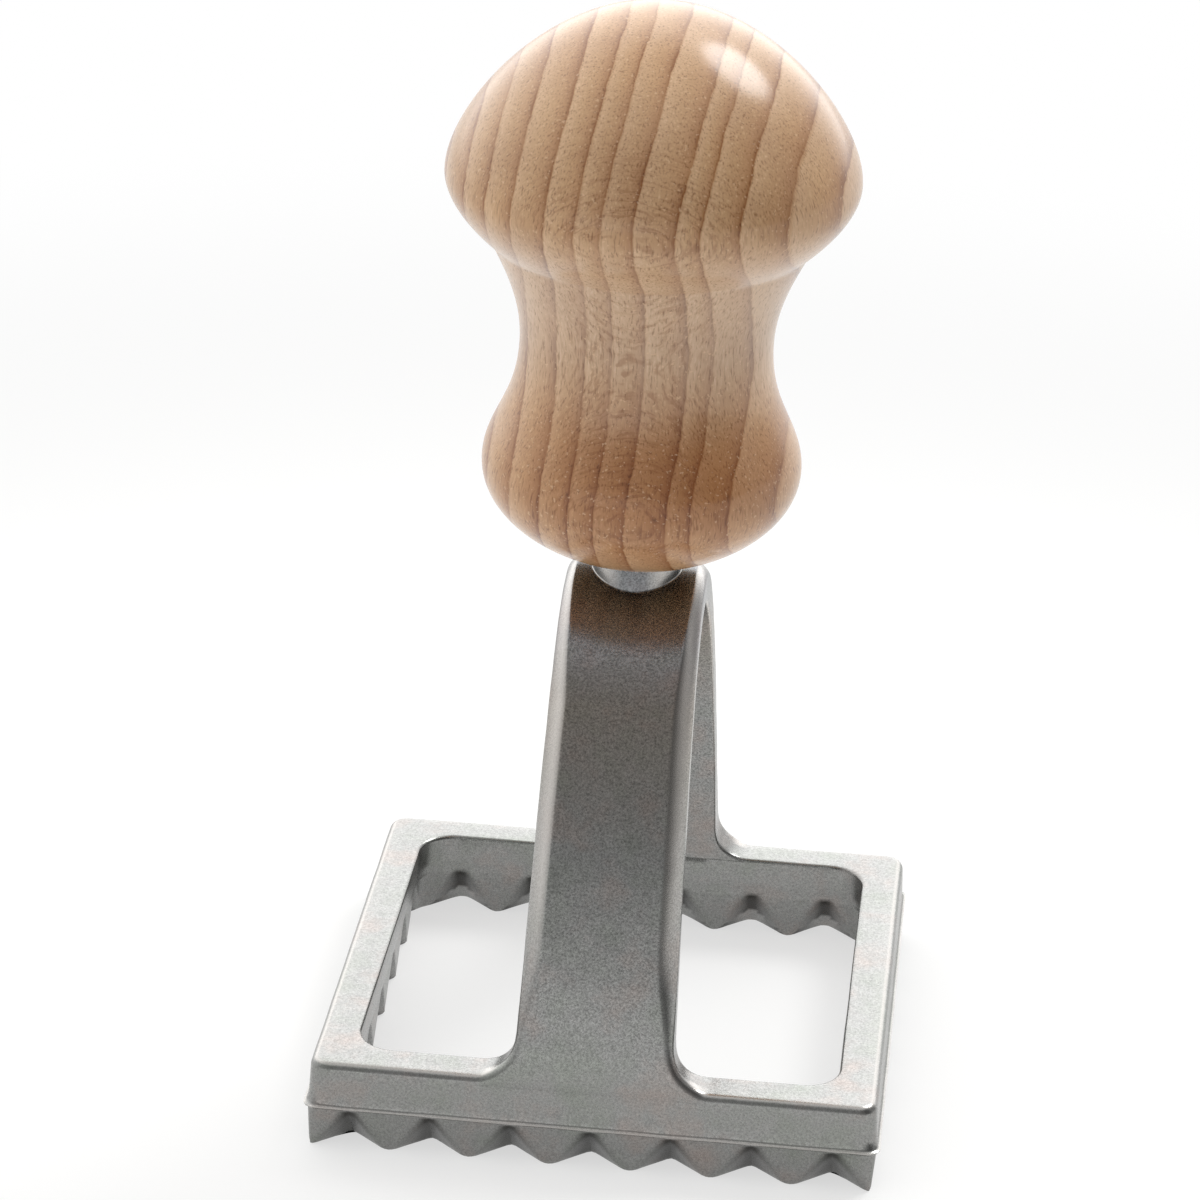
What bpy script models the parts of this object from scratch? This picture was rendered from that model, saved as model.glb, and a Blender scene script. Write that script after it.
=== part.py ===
"""Ravioli cutter: a die-cast frame with a toothed cutting edge and an arch, a turned wooden knob,
and the wood screw that holds the knob on the arch.

Metres, +Z up. The cutting edge lies on Z = 0, and the tool's axis is the Z axis. The front and rear
sides, which carry the arch, face -Y and +Y.
"""

import math

import bmesh
import bpy
from mathutils import Matrix, Vector

# Frame
FRAME_WIDTH = 0.0600  # both ways, across the foot of the skirt
FRAME_HEIGHT = 0.0098  # cutting edge to the top of the rim
RIM_WIDTH = 0.00445  # top of the rim, skirt to window
RIDGE_HEIGHT = 0.0048  # middle of the parting ridge
RIDGE_THICKNESS = 0.0006
RIDGE_PROUD = 0.00045
SKIRT_DRAFT = 0.00015  # each side, from the ridge to the top
WINDOW_DRAFT = 0.0004  # each side, from the top down to the pockets
OUTER_CORNER = 0.0020
RIDGE_CORNER = 0.0010
WINDOW_CORNER = 0.0040
OUTER_EDGE = 0.0008  # rounding along the top of the skirt
WINDOW_EDGE = 0.0004  # rounding along the top of the window

# Teeth, a zigzag in plan that ends in a flat cutting edge
TEETH_PITCHES = 7  # from corner to corner
TEETH_SETBACK = 0.0003  # tips, in from the foot of the skirt
TOOTH_DEPTH = 0.0032
TIP_FLAT = 0.0009
VALLEY_FLAT = 0.0005
POCKET_FLAT = 0.0007  # inside, behind a tip
INNER_RIDGE_FLAT = 0.0013  # inside, behind a valley
POCKET_HEIGHT = 0.0047
CUTTING_LAND = 0.0004
CORNER_CUT = 0.0007  # flat across each inner corner, off both of its sides
GROOVE_RUNOUT = 0.0002  # what is left of a groove's depth at the parting ridge
GROOVE_END_WIDTH = 0.0011  # of a groove where it runs out, under the parting ridge
POCKET_END_WIDTH = 0.0012  # of a pocket where it runs out, on the window's face

# Arch, a strap from the front side to the rear side
ARCH_HEIGHT = 0.0520  # cutting edge to the underside of the crown
STRAP_THICKNESS = 0.0043
STRAP_BASE_WIDTH = 0.0167
STRAP_TOP_WIDTH = 0.0147
STRAP_EDGE = 0.0019  # rounding along its outer edges
STRAP_INNER_EDGE = 0.0004
FOOT_FILLET = 0.0038
FOOT_FILLET_REACH = 0.97  # share of the fillet's quarter turn that shows over the rim
FOOT_REACH = 0.0030  # how far the arch's curve leaves the foot straight up
CROWN_REACH = 0.0130  # how far it leaves the crown level
STRAP_SINK = 0.00005  # of the strap's faces behind the skirt and the window's face
STRAP_ROOT = 0.0024  # how far the strap runs down into the rim
STRAP_ROOT_INSET = 0.0009

# Boss on the crown, and the screw's hole and seat
BOSS_DIAMETER = 0.0098
BOSS_DRAFT = 0.0002
BOSS_HEIGHT = 0.0024  # over the top of the crown
SEAT_DEPTH = 0.0004  # of the screw's seat into the crown's underside
SEAT_MARGIN = 0.0007  # round the screw's head

# Knob: how far each place of its outline lies over the one before, and its radius there
FLARE_RISE = 0.0093
WAIST_RISE = 0.0135
NECK_RISE = 0.0110
CAP_RISE = 0.0070
DOME_RISE = 0.0178
KNOB_BASE_RADIUS = 0.0080
FLARE_RADIUS = 0.0168
WAIST_RADIUS = 0.0132
NECK_RADIUS = 0.0166
CAP_RADIUS = 0.0214
BASE_SLOPE = math.radians(70)  # off the vertical, at the edge of the base
NECK_SLOPE = math.radians(27)  # off the vertical, where the neck ends
CAP_SLOPE = math.radians(50)  # off the vertical, where the cap begins

# How far the knob's outline holds its direction at both ends of each stretch, as shares of how far
# the stretch runs in that direction
FOOT_HOLD = 0.38, 0.50  # base to flare
BELLY_HOLD = 0.32, 0.53  # flare to waist
NECK_HOLD = 0.40, 0.31  # waist to neck
SHOULDER_HOLD = 0.41, 0.32  # neck to cap
DOME_HOLD = 0.32, 0.55  # cap to top

# Screw
SCREW_DIAMETER = 0.0040
SCREW_LENGTH = 0.0300
PILOT_END_GAP = 0.0009  # from the screw's point to the end of its hole
SCREW_CORE_DIAMETER = 0.0027
THREAD_LENGTH = 0.0210
THREAD_PITCH = 0.0018
THREAD_FLANK = 0.0005  # half the thread's width at its root
THREAD_SINK = 0.0003  # of its root under the core's surface
POINT_LENGTH = 0.0030
HEAD_DIAMETER = 0.0078
HEAD_HEIGHT = 0.0026
HEAD_RIM = 0.0008  # straight part of the head, at its seat
HEAD_CROWN_RADIUS = 0.0022  # how far in the head's rounding reaches
RECESS_WIDTH = 0.0010
RECESS_SPAN = 0.0042
RECESS_DEPTH = 0.0016
RECESS_TAPER = 0.6  # of its width and span, at its bottom

FIT_GAP = 0.0003  # between pieces that touch
OVERLAP = 0.0005  # of a cutter past the face that it opens

# Smoothness
CORNER_STEPS = 4
OUTER_EDGE_STEPS = 3
WINDOW_EDGE_STEPS = 2
STRAP_STEPS = 16
STRAP_EDGE_STEPS = 4
STRAP_INNER_EDGE_STEPS = 2
FOOT_STEPS = 6
FOOT_SHARE = 0.25  # of the arch's half curve, in which the foot's sections crowd
KNOB_STEPS = 40
OUTLINE_STEPS = 6
SCREW_STEPS = 14
HEAD_STEPS = 4

# Places that follow from these sizes
SKIRT_REACH = FRAME_WIDTH / 2
RIDGE_REACH = SKIRT_REACH + RIDGE_PROUD
SKIRT_TOP_REACH = SKIRT_REACH - SKIRT_DRAFT
WINDOW_REACH = SKIRT_TOP_REACH - RIM_WIDTH
TIP_REACH = SKIRT_REACH - TEETH_SETBACK
TOOTH_PITCH = 2 * TIP_REACH / TEETH_PITCHES
STRAP_FOOT = SKIRT_TOP_REACH - STRAP_SINK - STRAP_THICKNESS
CROWN_TOP = ARCH_HEIGHT + STRAP_THICKNESS
BOSS_TOP = CROWN_TOP + BOSS_HEIGHT
KNOB_BASE = BOSS_TOP + FIT_GAP
SEAT_HEIGHT = ARCH_HEIGHT + SEAT_DEPTH
HEAD_SEAT = SEAT_HEIGHT - FIT_GAP
SEAT_RADIUS = HEAD_DIAMETER / 2 + SEAT_MARGIN
SCREW_HOLE_RADIUS = SCREW_DIAMETER / 2 + FIT_GAP
PILOT_DEPTH = HEAD_SEAT + SCREW_LENGTH + PILOT_END_GAP - KNOB_BASE


def clear_scene():
    for item in list(bpy.data.objects):
        bpy.data.objects.remove(item, do_unlink=True)


def make_collection(name):
    collection = bpy.data.collections.new(name)
    bpy.context.scene.collection.children.link(collection)
    return collection


def make_material(name, colour, roughness, metallic):
    material = bpy.data.materials.new(name)
    material.use_nodes = True
    shader = material.node_tree.nodes["Principled BSDF"]
    shader.inputs["Base Color"].default_value = (*colour, 1.0)
    shader.inputs["Roughness"].default_value = roughness
    shader.inputs["Metallic"].default_value = metallic
    return material


def mesh_object(name, bm, collection, material=None):
    """Turn a bmesh into an object, with its faces pointing out and its round faces shaded smooth."""
    bmesh.ops.recalc_face_normals(bm, faces=bm.faces)
    mesh = bpy.data.meshes.new(name)
    bm.to_mesh(mesh)
    bm.free()
    mesh.shade_smooth()
    mesh.set_sharp_from_angle(angle=math.radians(35.0))
    item = bpy.data.objects.new(name, mesh)
    collection.objects.link(item)
    if material:
        mesh.materials.append(material)
    return item


def as_tool(item):
    """Mark an object that only cuts or joins another one."""
    item.hide_render = True
    item.display_type = "WIRE"
    return item


def combine(item, tool, operation):
    modifier = item.modifiers.new(tool.name, "BOOLEAN")
    modifier.operation = operation
    modifier.object = tool


def loft(rows, closed):
    """Skin rings of equally many points. A closed loft joins its last ring to its first."""
    bm = bmesh.new()
    rings = [[bm.verts.new(point) for point in row] for row in rows]
    pairs = list(zip(rings, rings[1:]))
    if closed:
        pairs.append((rings[-1], rings[0]))
    else:
        bm.faces.new(rings[0])
        bm.faces.new(rings[-1])
    for lower, upper in pairs:
        for here in range(len(lower)):
            after = (here + 1) % len(lower)
            bm.faces.new((lower[here], lower[after], upper[after], upper[here]))
    return bm


def cylinder(bottom, top, bottom_radius, top_radius=None, steps=KNOB_STEPS):
    bm = bmesh.new()
    bmesh.ops.create_cone(
        bm, cap_ends=True, segments=steps, radius1=bottom_radius,
        radius2=bottom_radius if top_radius is None else top_radius, depth=top - bottom,
        matrix=Matrix.Translation((0, 0, (bottom + top) / 2)))
    return bm


def bezier(start, start_handle, end_handle, end, steps):
    """Points along a cubic curve, without its last one."""
    points = []
    for step in range(steps):
        t = step / steps
        points.append((1 - t) ** 3 * start + 3 * (1 - t) ** 2 * t * start_handle
                      + 3 * (1 - t) * t ** 2 * end_handle + t ** 3 * end)
    return points


# Toothed frame

def side_stations(tip_flat, valley_flat):
    """Places along one side, each with its depth: 0 at a tip and 1 at a valley."""
    stations = []
    for pitch in range(TEETH_PITCHES):
        valley = -TIP_REACH + TOOTH_PITCH * (pitch + 0.5)
        stations += [(valley - valley_flat / 2, 1), (valley + valley_flat / 2, 1)]
        tip = valley + TOOTH_PITCH / 2
        if pitch < TEETH_PITCHES - 1:
            stations += [(tip - tip_flat / 2, 0), (tip + tip_flat / 2, 0)]
    return stations


def corner_stations(first):
    """Places from the corner to a side's first station, which isn't among them."""
    return [(-TIP_REACH + (first + TIP_REACH) * step / CORNER_STEPS, 0) for step in range(CORNER_STEPS)]


def plain_stations():
    """Stations for a ring with neither grooves nor pockets."""
    stations = side_stations(TIP_FLAT, VALLEY_FLAT)
    return mirrored(corner_stations(stations[0][0]), stations)


def groove_end_stations():
    """Stations that close in on each groove, so that it narrows upwards and leaves a pointed tooth."""
    stations = side_stations(TOOTH_PITCH - GROOVE_END_WIDTH, VALLEY_FLAT)
    corner = corner_stations(stations[0][0])
    corner[-1] = TOOTH_PITCH / 2 - TIP_REACH - GROOVE_END_WIDTH / 2, 0
    return mirrored(corner, stations)


def pocket_end_stations():
    """Stations that close in on each pocket, so that it narrows upwards under a pointed top."""
    stations = side_stations(TIP_FLAT, TOOTH_PITCH - POCKET_END_WIDTH)
    first = plain_stations()[CORNER_STEPS]
    stations[0] = first
    stations[-1] = -first[0], first[1]
    return mirrored(corner_stations(first[0]), stations)


def mirrored(start, stations):
    """A side's stations with a corner's before them, and the same mirrored after them."""
    return start + stations + [(-along, out) for along, out in reversed(start[1:])]


def around(side, height):
    """Carry one side's points, each (along, out), round the four sides of the frame."""
    ring = []
    for turn in range(4):
        spin = Matrix.Rotation(turn * math.pi / 2, 3, "Z")
        ring += [spin @ Vector((along, -out, height)) for along, out in side]
    return ring


def plain_ring(reach, corner, height, stations=None, scallop=0.0):
    """A square with round corners, whose points stand at a side's stations."""
    straight = min(TIP_REACH - TOOTH_PITCH, reach - corner)
    turn_length = reach - corner - straight + corner * math.pi / 4

    def place(along, depth):
        past = (abs(along) - straight) / (TIP_REACH - straight) * turn_length
        bent = past - (reach - corner - straight)
        if past <= 0:
            spot = abs(along), reach
        elif bent <= 0:
            spot = straight + past, reach
        else:
            angle = bent / corner
            spot = reach - corner + corner * math.sin(angle), reach - corner + corner * math.cos(angle)
        return math.copysign(spot[0], along), spot[1] - scallop * depth

    return around([place(along, depth) for along, depth in stations or plain_stations()], height)


def outer_edge_ring():
    """Outside of the cutting edge: a zigzag with a blunt fin at each corner."""
    stations = [(along, TIP_REACH - depth * TOOTH_DEPTH)
                for along, depth in side_stations(TIP_FLAT, VALLEY_FLAT)]
    valley = Vector(stations[0])
    corner = Vector((-TIP_REACH, TIP_REACH))
    shoulder = corner.lerp(valley, TIP_FLAT / 2 / (valley - corner).length)
    nose = (shoulder + Vector((-shoulder.y, -shoulder.x))) / 2
    fin = [tuple(nose.lerp(shoulder, step / (CORNER_STEPS - 1))) for step in range(CORNER_STEPS)]
    return around(mirrored(fin, stations), 0)


def inner_edge_ring():
    """Inside of the cutting edge: pockets behind the tips, and a flat across each corner."""
    stations = [(along, TIP_REACH - CUTTING_LAND - depth * TOOTH_DEPTH)
                for along, depth in side_stations(POCKET_FLAT, INNER_RIDGE_FLAT)]
    reach = stations[0][1]
    corner = min(CORNER_CUT - reach, stations[1][0] - VALLEY_FLAT)
    stations[0] = corner, reach
    stations[-1] = -corner, reach
    middle = (corner - reach) / 2
    flat = [(middle + (corner - middle) * share, -middle + (reach + middle) * share)
            for share in (step / CORNER_STEPS for step in range(CORNER_STEPS))]
    return around(mirrored(flat, stations), 0)


def edge_rounding(steps):
    """Shares of an edge's radius, across and up, from the start of a quarter turn to its end."""
    for step in range(steps + 1):
        angle = step / steps * math.pi / 2
        yield 1 - math.cos(angle), 1 - math.sin(angle)


def frame_mesh():
    """The frame is one closed loft: up the outside, over the rim and down inside the window."""
    below = RIDGE_HEIGHT - RIDGE_THICKNESS / 2
    above = RIDGE_HEIGHT + RIDGE_THICKNESS / 2
    rows = [outer_edge_ring(),
            plain_ring(SKIRT_REACH, RIDGE_CORNER, below - RIDGE_PROUD, groove_end_stations(), GROOVE_RUNOUT),
            plain_ring(RIDGE_REACH, RIDGE_CORNER, below),
            plain_ring(RIDGE_REACH, RIDGE_CORNER, above),
            plain_ring(SKIRT_REACH, OUTER_CORNER, above + RIDGE_PROUD)]
    for across, down in edge_rounding(OUTER_EDGE_STEPS):
        rows.append(plain_ring(SKIRT_TOP_REACH - OUTER_EDGE * across, OUTER_CORNER,
                               FRAME_HEIGHT - OUTER_EDGE * down))
    for down, across in edge_rounding(WINDOW_EDGE_STEPS):
        rows.append(plain_ring(WINDOW_REACH + WINDOW_EDGE * across, WINDOW_CORNER,
                               FRAME_HEIGHT - WINDOW_EDGE * down))
    rows.append(plain_ring(WINDOW_REACH + WINDOW_DRAFT, WINDOW_CORNER, POCKET_HEIGHT, pocket_end_stations()))
    rows.append(inner_edge_ring())
    return loft(rows, closed=True)


# Arch

def arch_curve():
    """The strap's inner line from the front foot to the middle of the crown, as (y, z)."""
    foot = Vector((-STRAP_FOOT, FRAME_HEIGHT))
    crown = Vector((0, ARCH_HEIGHT))
    return foot, foot + Vector((0, FOOT_REACH)), crown - Vector((CROWN_REACH, 0)), crown


def arch_place(t):
    """A point of the inner line and the direction out of the strap there."""
    a, b, c, d = arch_curve()
    point = (1 - t) ** 3 * a + 3 * (1 - t) ** 2 * t * b + 3 * (1 - t) * t ** 2 * c + t ** 3 * d
    along = (1 - t) ** 2 * (b - a) + 2 * (1 - t) * t * (c - b) + t ** 2 * (d - c)
    along.normalize()
    return Vector((0, point.x, point.y)), Vector((0, -along.y, along.x))


def strap_half_width(height):
    """Half the strap's width: it tapers upwards, and flares into the rim at its foot."""
    share = (height - FRAME_HEIGHT) / (CROWN_TOP - FRAME_HEIGHT)
    half = (STRAP_BASE_WIDTH + (STRAP_TOP_WIDTH - STRAP_BASE_WIDTH) * share) / 2
    rise = (height - FRAME_HEIGHT) / FOOT_FILLET
    drop = min(max(0, 1 - rise), FOOT_FILLET_REACH)
    return half + FOOT_FILLET * (1 - math.sqrt(1 - drop ** 2))


def strap_section(place, out, half_width, thickness, outer_edge):
    """A ring round the strap, with round outer edges and slightly broken inner ones."""
    outer = thickness - outer_edge, outer_edge, STRAP_EDGE_STEPS
    inner = STRAP_INNER_EDGE, STRAP_INNER_EDGE, STRAP_INNER_EDGE_STEPS
    ring = []
    for side, start, (depth, radius, steps) in ((1, -90, inner), (1, 0, outer), (-1, 90, outer),
                                                (-1, 180, inner)):
        for step in range(steps + 1):
            angle = math.radians(start + 90 * step / steps)
            across = side * (half_width - radius) + radius * math.cos(angle)
            ring.append(place + Vector((across, 0, 0)) + out * (depth + radius * math.sin(angle)))
    return ring


def arch_mesh():
    """The strap, lofted over the crown from a root inside the front rim to one inside the rear rim."""
    foot, out = arch_place(0)
    foot_half = strap_half_width(FRAME_HEIGHT)
    root = foot + out * STRAP_ROOT_INSET - Vector((0, 0, STRAP_ROOT))
    rows = [strap_section(root, out, foot_half - STRAP_ROOT_INSET,
                          STRAP_THICKNESS - 2 * STRAP_ROOT_INSET, OUTER_EDGE),
            strap_section(foot - Vector((0, 0, OUTER_EDGE)), out, foot_half, STRAP_THICKNESS, OUTER_EDGE)]
    shares = [FOOT_SHARE * (step / FOOT_STEPS) ** 2 for step in range(FOOT_STEPS)]
    shares += [FOOT_SHARE + (1 - FOOT_SHARE) * step / STRAP_STEPS for step in range(STRAP_STEPS + 1)]
    for share in shares:
        place, out = arch_place(share)
        rise = min(1.0, (place.z - FRAME_HEIGHT) / FOOT_FILLET)
        edge = OUTER_EDGE + (STRAP_EDGE - OUTER_EDGE) * rise
        rows.append(strap_section(place, out, strap_half_width(place.z), STRAP_THICKNESS, edge))
    rear = [[Vector((point.x, -point.y, point.z)) for point in row] for row in reversed(rows[:-1])]
    return loft(rows + rear, closed=False)


def build_casting(parts, tools, material):
    """Frame, arch and boss in one casting, with the screw's hole and seat cut in its crown."""
    casting = mesh_object("cutter_casting", frame_mesh(), parts, material)
    arch = as_tool(mesh_object("arch_form", arch_mesh(), tools))
    boss_radius = BOSS_DIAMETER / 2
    boss = as_tool(mesh_object(
        "boss_form", cylinder(CROWN_TOP - STRAP_THICKNESS / 2, BOSS_TOP, boss_radius + BOSS_DRAFT,
                              boss_radius), tools))
    hole = as_tool(mesh_object(
        "screw_hole", cylinder(ARCH_HEIGHT - OVERLAP, BOSS_TOP + OVERLAP, SCREW_HOLE_RADIUS), tools))
    seat = as_tool(mesh_object(
        "screw_seat", cylinder(SEAT_HEIGHT - HEAD_HEIGHT, SEAT_HEIGHT, SEAT_RADIUS), tools))
    combine(casting, arch, "UNION")
    combine(casting, boss, "UNION")
    combine(casting, hole, "DIFFERENCE")
    combine(casting, seat, "DIFFERENCE")
    return casting


# Knob

def direction(angle):
    """A unit step up and outward, at an angle off the vertical."""
    return Vector((math.sin(angle), math.cos(angle)))


def stretch(start, leaving, end, arriving, hold, steps):
    """Points from one place of the outline to the next, without the last one."""
    run = end - start
    return bezier(start, start + leaving * leaving.dot(run) * hold[0],
                  end - arriving * arriving.dot(run) * hold[1], end, steps)


def knob_outline():
    """The knob's outside as (radius, height) from the edge of its base up to its top."""
    base = Vector((KNOB_BASE_RADIUS, 0))
    flare = Vector((FLARE_RADIUS, FLARE_RISE))
    waist = Vector((WAIST_RADIUS, flare.y + WAIST_RISE))
    neck = Vector((NECK_RADIUS, waist.y + NECK_RISE))
    cap = Vector((CAP_RADIUS, neck.y + CAP_RISE))
    top = Vector((0, cap.y + DOME_RISE))
    up = Vector((0, 1))
    inward = Vector((-1, 0))
    points = stretch(base, direction(BASE_SLOPE), flare, up, FOOT_HOLD, OUTLINE_STEPS)
    points += stretch(flare, up, waist, up, BELLY_HOLD, OUTLINE_STEPS)
    points += stretch(waist, up, neck, direction(NECK_SLOPE), NECK_HOLD, OUTLINE_STEPS)
    points += stretch(neck, direction(CAP_SLOPE), cap, up, SHOULDER_HOLD, OUTLINE_STEPS)
    points += stretch(cap, up, top, inward, DOME_HOLD, 2 * OUTLINE_STEPS)
    return points + [top]


def turned(name, outline, base, collection, material=None, steps=KNOB_STEPS):
    """Turn an outline of (radius, height) points, listed from the top down its outer side."""
    bm = bmesh.new()
    points = [bm.verts.new((point[0], 0, point[1])) for point in outline]
    for upper, lower in zip(points, points[1:]):
        bm.edges.new((upper, lower))
    mesh = bpy.data.meshes.new(name)
    bm.to_mesh(mesh)
    bm.free()
    if material:
        mesh.materials.append(material)
    item = bpy.data.objects.new(name, mesh)
    item.location.z = base
    collection.objects.link(item)
    spin = item.modifiers.new("turning", "SCREW")
    spin.axis = "Z"
    spin.steps = steps
    spin.render_steps = steps
    spin.use_merge_vertices = True
    spin.merge_threshold = 0.00001
    spin.use_smooth_shade = True
    return item


def build_knob(parts, material):
    """The knob, with the pilot hole that the screw goes up into."""
    outline = list(reversed(knob_outline()))
    outline += [(SCREW_HOLE_RADIUS, 0), (SCREW_HOLE_RADIUS, PILOT_DEPTH), (0, PILOT_DEPTH)]
    return turned("wooden_knob", outline, KNOB_BASE, parts, material)


# Screw

def screw_outline():
    """Point, core, shank and pan head as (radius, height over the head's seat), from the point down."""
    core = SCREW_CORE_DIAMETER / 2
    shank = SCREW_DIAMETER / 2
    head = HEAD_DIAMETER / 2
    shank_end = SCREW_LENGTH - THREAD_LENGTH
    outline = [(0, SCREW_LENGTH), (core, SCREW_LENGTH - POINT_LENGTH), (core, shank_end),
               (shank, shank_end - (shank - core)), (shank, 0), (head, 0)]
    for step in range(HEAD_STEPS):
        angle = math.pi / 2 * step / HEAD_STEPS
        across = head - HEAD_CROWN_RADIUS * (1 - math.cos(angle))
        outline.append((across, -HEAD_RIM - (HEAD_HEIGHT - HEAD_RIM) * math.sin(angle)))
    return outline + [(0, -HEAD_HEIGHT)]


def thread_mesh():
    """The thread: one ridge that winds up the core and sinks into it at both ends."""
    core = SCREW_CORE_DIAMETER / 2
    sunk = core - THREAD_SINK
    start = SCREW_LENGTH - THREAD_LENGTH
    steps = round((THREAD_LENGTH - POINT_LENGTH) / THREAD_PITCH * SCREW_STEPS)
    rows = []
    for step in range(steps + 1):
        turn = step / SCREW_STEPS
        rise = min(1, turn, (steps - step) / SCREW_STEPS)
        crest = core + (SCREW_DIAMETER / 2 - core) * rise
        angle = (turn + 0.5 / SCREW_STEPS) * 2 * math.pi
        height = start + turn * THREAD_PITCH
        rows.append([Vector((radius * math.cos(angle), radius * math.sin(angle), height + offset))
                     for radius, offset in ((sunk, -THREAD_FLANK), (crest, 0), (sunk, THREAD_FLANK))])
    return loft(rows, closed=False)


def recess_arm(turn):
    """One arm of the driver's cross, narrower at its bottom."""
    bm = bmesh.new()
    arm = bmesh.ops.create_cube(bm, size=1.0)["verts"]
    bmesh.ops.scale(bm, verts=arm, vec=(RECESS_SPAN, RECESS_WIDTH, 2 * RECESS_DEPTH))
    for vertex in arm:
        if vertex.co.z > 0:
            vertex.co.x *= RECESS_TAPER
            vertex.co.y *= RECESS_TAPER
    bmesh.ops.rotate(bm, verts=arm, matrix=Matrix.Rotation(turn, 3, "Z"))
    return bm


def build_screw(parts, tools, material):
    """The wood screw: pan head under the crown, thread up inside the knob."""
    screw = turned("knob_screw", screw_outline(), HEAD_SEAT, parts, material, SCREW_STEPS)
    thread = as_tool(mesh_object("screw_thread", thread_mesh(), tools))
    thread.location.z = HEAD_SEAT
    combine(screw, thread, "UNION")
    for name, turn in (("recess_arm", 0), ("recess_cross_arm", math.pi / 2)):
        arm = as_tool(mesh_object(name, recess_arm(turn), tools))
        arm.location.z = HEAD_SEAT - HEAD_HEIGHT
        combine(screw, arm, "DIFFERENCE")
    return screw


def main():
    clear_scene()
    parts = make_collection("ravioli_cutter")
    tools = make_collection("cutters")
    aluminium = make_material("die_cast_aluminium", (0.58, 0.58, 0.56), 0.38, 1.0)
    beech = make_material("turned_beech", (0.62, 0.40, 0.24), 0.42, 0.0)
    steel = make_material("zinc_plated_steel", (0.66, 0.67, 0.69), 0.30, 1.0)
    build_casting(parts, tools, aluminium)
    build_knob(parts, beech)
    build_screw(parts, tools, steel)


main()
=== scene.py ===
"""Ravioli cutter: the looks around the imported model.

A die-cast aluminium frame with its arch and boss, a turned and lacquered beech knob, and the wood
screw that holds them together. Shapes are worked out in millimetres and made in metres, in the
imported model's frame. The cutting edge lies on Z = 0, and the arch stands on the front (-Y) and rear
(+Y) sides.
"""

import math
from functools import partial

import bmesh
import bpy
from bpy.props import FloatProperty, FloatVectorProperty, PointerProperty
from mathutils import Matrix, Vector, noise


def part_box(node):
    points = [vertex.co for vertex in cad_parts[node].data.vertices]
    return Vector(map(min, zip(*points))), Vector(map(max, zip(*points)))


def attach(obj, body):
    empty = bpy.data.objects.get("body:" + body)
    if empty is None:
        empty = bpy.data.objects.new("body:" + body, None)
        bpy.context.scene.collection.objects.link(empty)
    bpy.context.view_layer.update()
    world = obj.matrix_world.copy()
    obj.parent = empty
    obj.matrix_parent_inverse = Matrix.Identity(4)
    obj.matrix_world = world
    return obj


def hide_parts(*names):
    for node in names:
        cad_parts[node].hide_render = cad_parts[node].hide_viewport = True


bl_info = {
    "name": "Ravioli cutter",
    "version": (1, 0, 0),
    "blender": (4, 5, 0),
    "location": "3D View > Sidebar > Ravioli cutter",
    "description": "Dresses the packed ravioli cutter in cast aluminium, beech and steel",
    "category": "Object",
}

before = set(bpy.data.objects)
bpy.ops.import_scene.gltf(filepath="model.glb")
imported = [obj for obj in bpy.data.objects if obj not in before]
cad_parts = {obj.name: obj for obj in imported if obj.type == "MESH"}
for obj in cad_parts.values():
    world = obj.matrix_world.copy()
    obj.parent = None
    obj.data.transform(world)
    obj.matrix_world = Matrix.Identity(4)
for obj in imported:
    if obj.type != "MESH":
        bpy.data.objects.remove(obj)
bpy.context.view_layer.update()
MM = 0.001
SHARP_ANGLE, KNOB_SHARP_ANGLE = 38, 60  # degrees between two faces from which their edge is sharp

# Frame, mm
SKIRT_REACH = 30.0
SKIRT_TOP_REACH = 29.85
RIM_TOP = 9.8
RIM_WIDTH = 4.45
WINDOW_REACH = SKIRT_TOP_REACH - RIM_WIDTH
WINDOW_DRAFT = 0.4
RIDGE_MIDDLE = 4.8
RIDGE_PROUD = 0.42
RIDGE_SIDE_SHARE = 0.88  # of that, away from the corners, where the flash was trimmed closer
RIDGE_CORNER_RUN = 4.0
RIDGE_WAVER, RIDGE_WAVE = 0.1, 5.0  # how far its crest strays, and over what length
RIDGE_SEED = 3.7
# Heights over the ridge's middle, and the share of its projection there
RIDGE_PROFILE = ((-0.6, 0.0), (-0.4, 0.1), (-0.24, 0.4), (-0.12, 0.82), (-0.04, 0.98), (0.02, 1.0),
                 (0.07, 0.9), (0.11, 0.68), (0.16, 0.46), (0.26, 0.28), (0.46, 0.15), (0.8, 0.05),
                 (1.2, 0.0))
SKIRT_FOOT = RIDGE_MIDDLE + RIDGE_PROFILE[0][0]
OUTER_CORNER = 2.0
RIDGE_CORNER = 1.2
TIP_CORNER = 0.45
WINDOW_CORNER = 4.0
EDGE_CORNER_INSIDE = 1.5
OUTER_EDGE = 1.0
WINDOW_EDGE = 0.4

# Teeth, mm
TEETH_PITCHES = 7
TIP_REACH = 29.7
TOOTH_PITCH = 2 * TIP_REACH / TEETH_PITCHES
TOOTH_DEPTH = 3.2
TIP_FLAT = 0.9
VALLEY_FLAT = 0.5
POCKET_FLAT = 0.7
INNER_RIDGE_FLAT = 1.3
# Shares of a recess's flat: how far its bottom rounds, and what is flat of it
GROOVE_ROUNDING = (0.4, 0.5)
POCKET_ROUNDING = (0.9, 1.0)
CUTTING_LAND = 0.4
GROOVE_TOP = 4.35
POCKET_TOP = 5.0
TOOTH_SOFTNESS = 0.45
LAND_EDGE = 0.12

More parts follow.
